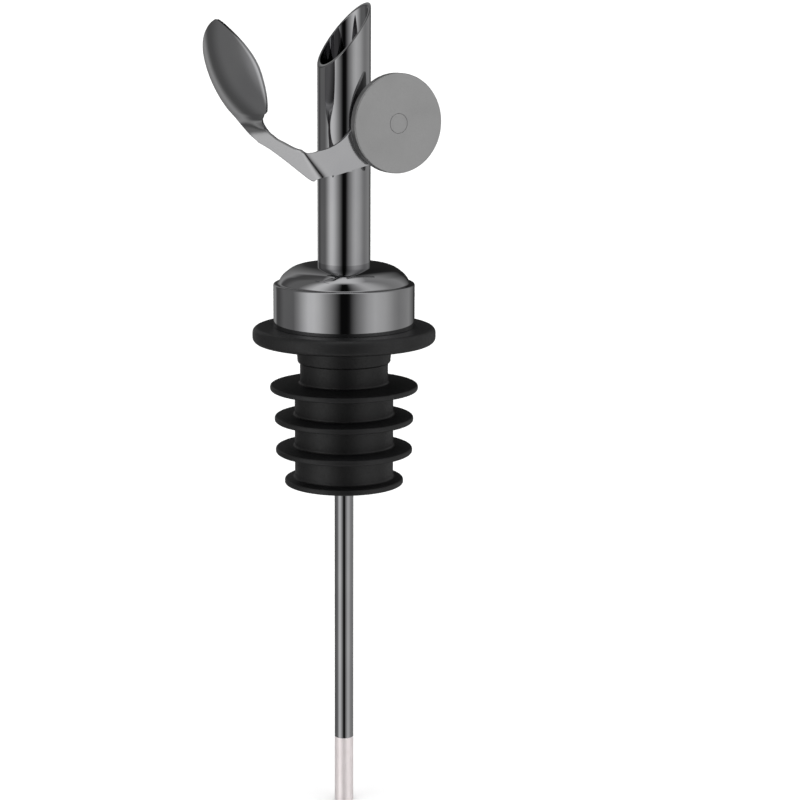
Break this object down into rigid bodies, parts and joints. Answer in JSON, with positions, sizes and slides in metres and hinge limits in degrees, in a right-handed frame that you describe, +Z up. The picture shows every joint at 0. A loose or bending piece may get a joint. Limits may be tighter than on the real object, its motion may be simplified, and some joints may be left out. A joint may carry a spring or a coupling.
{
  "type": "bottle pourer",
  "caption": "Metal free-flow bottle pourer with a rubber finned stopper, an air vent tube and a counterweighted flap on one side arm that closes the slanted spout.",
  "frame": {"origin": "on the spout's axis, on the underside of the stopper's top flange, where it seats on the bottle's lip", "axes": "+Z up along the spout's axis, +X towards the pouring lip, +Y to the side of the air hole; the flap is at rest open, towards -X"},
  "size_m": [0.0363, 0.0286, 0.1277],
  "materials": {
    "black_chrome": "polished stainless steel with a black chrome plating",
    "satin_steel": "tumbled satin, plated grey",
    "plain_steel": "bare stainless steel",
    "rubber": "matte moulded black rubber",
    "milky_sleeve": "milky clear plastic tube"
  },
  "bodies": {
    "pourer": {"spout_tube": "black_chrome", "collar_shell": "black_chrome", "liner": "plain_steel", "stopper": "rubber", "vent_tube": "black_chrome", "vent_tip": "milky_sleeve", "hinge_lug": "black_chrome"},
    "flap_set": {"flap": "black_chrome", "hinge_pin": "plain_steel", "counterweight": "satin_steel", "rivet": "satin_steel"}
  },
  "joints": [
    {"name": "flap_hinge", "type": "hinge", "parent": "pourer", "child": "flap_set", "pos_m": [-0.00495, 0, 0.028], "axis": [0, 1, 0], "range_deg": [0, 60]}
  ]
}
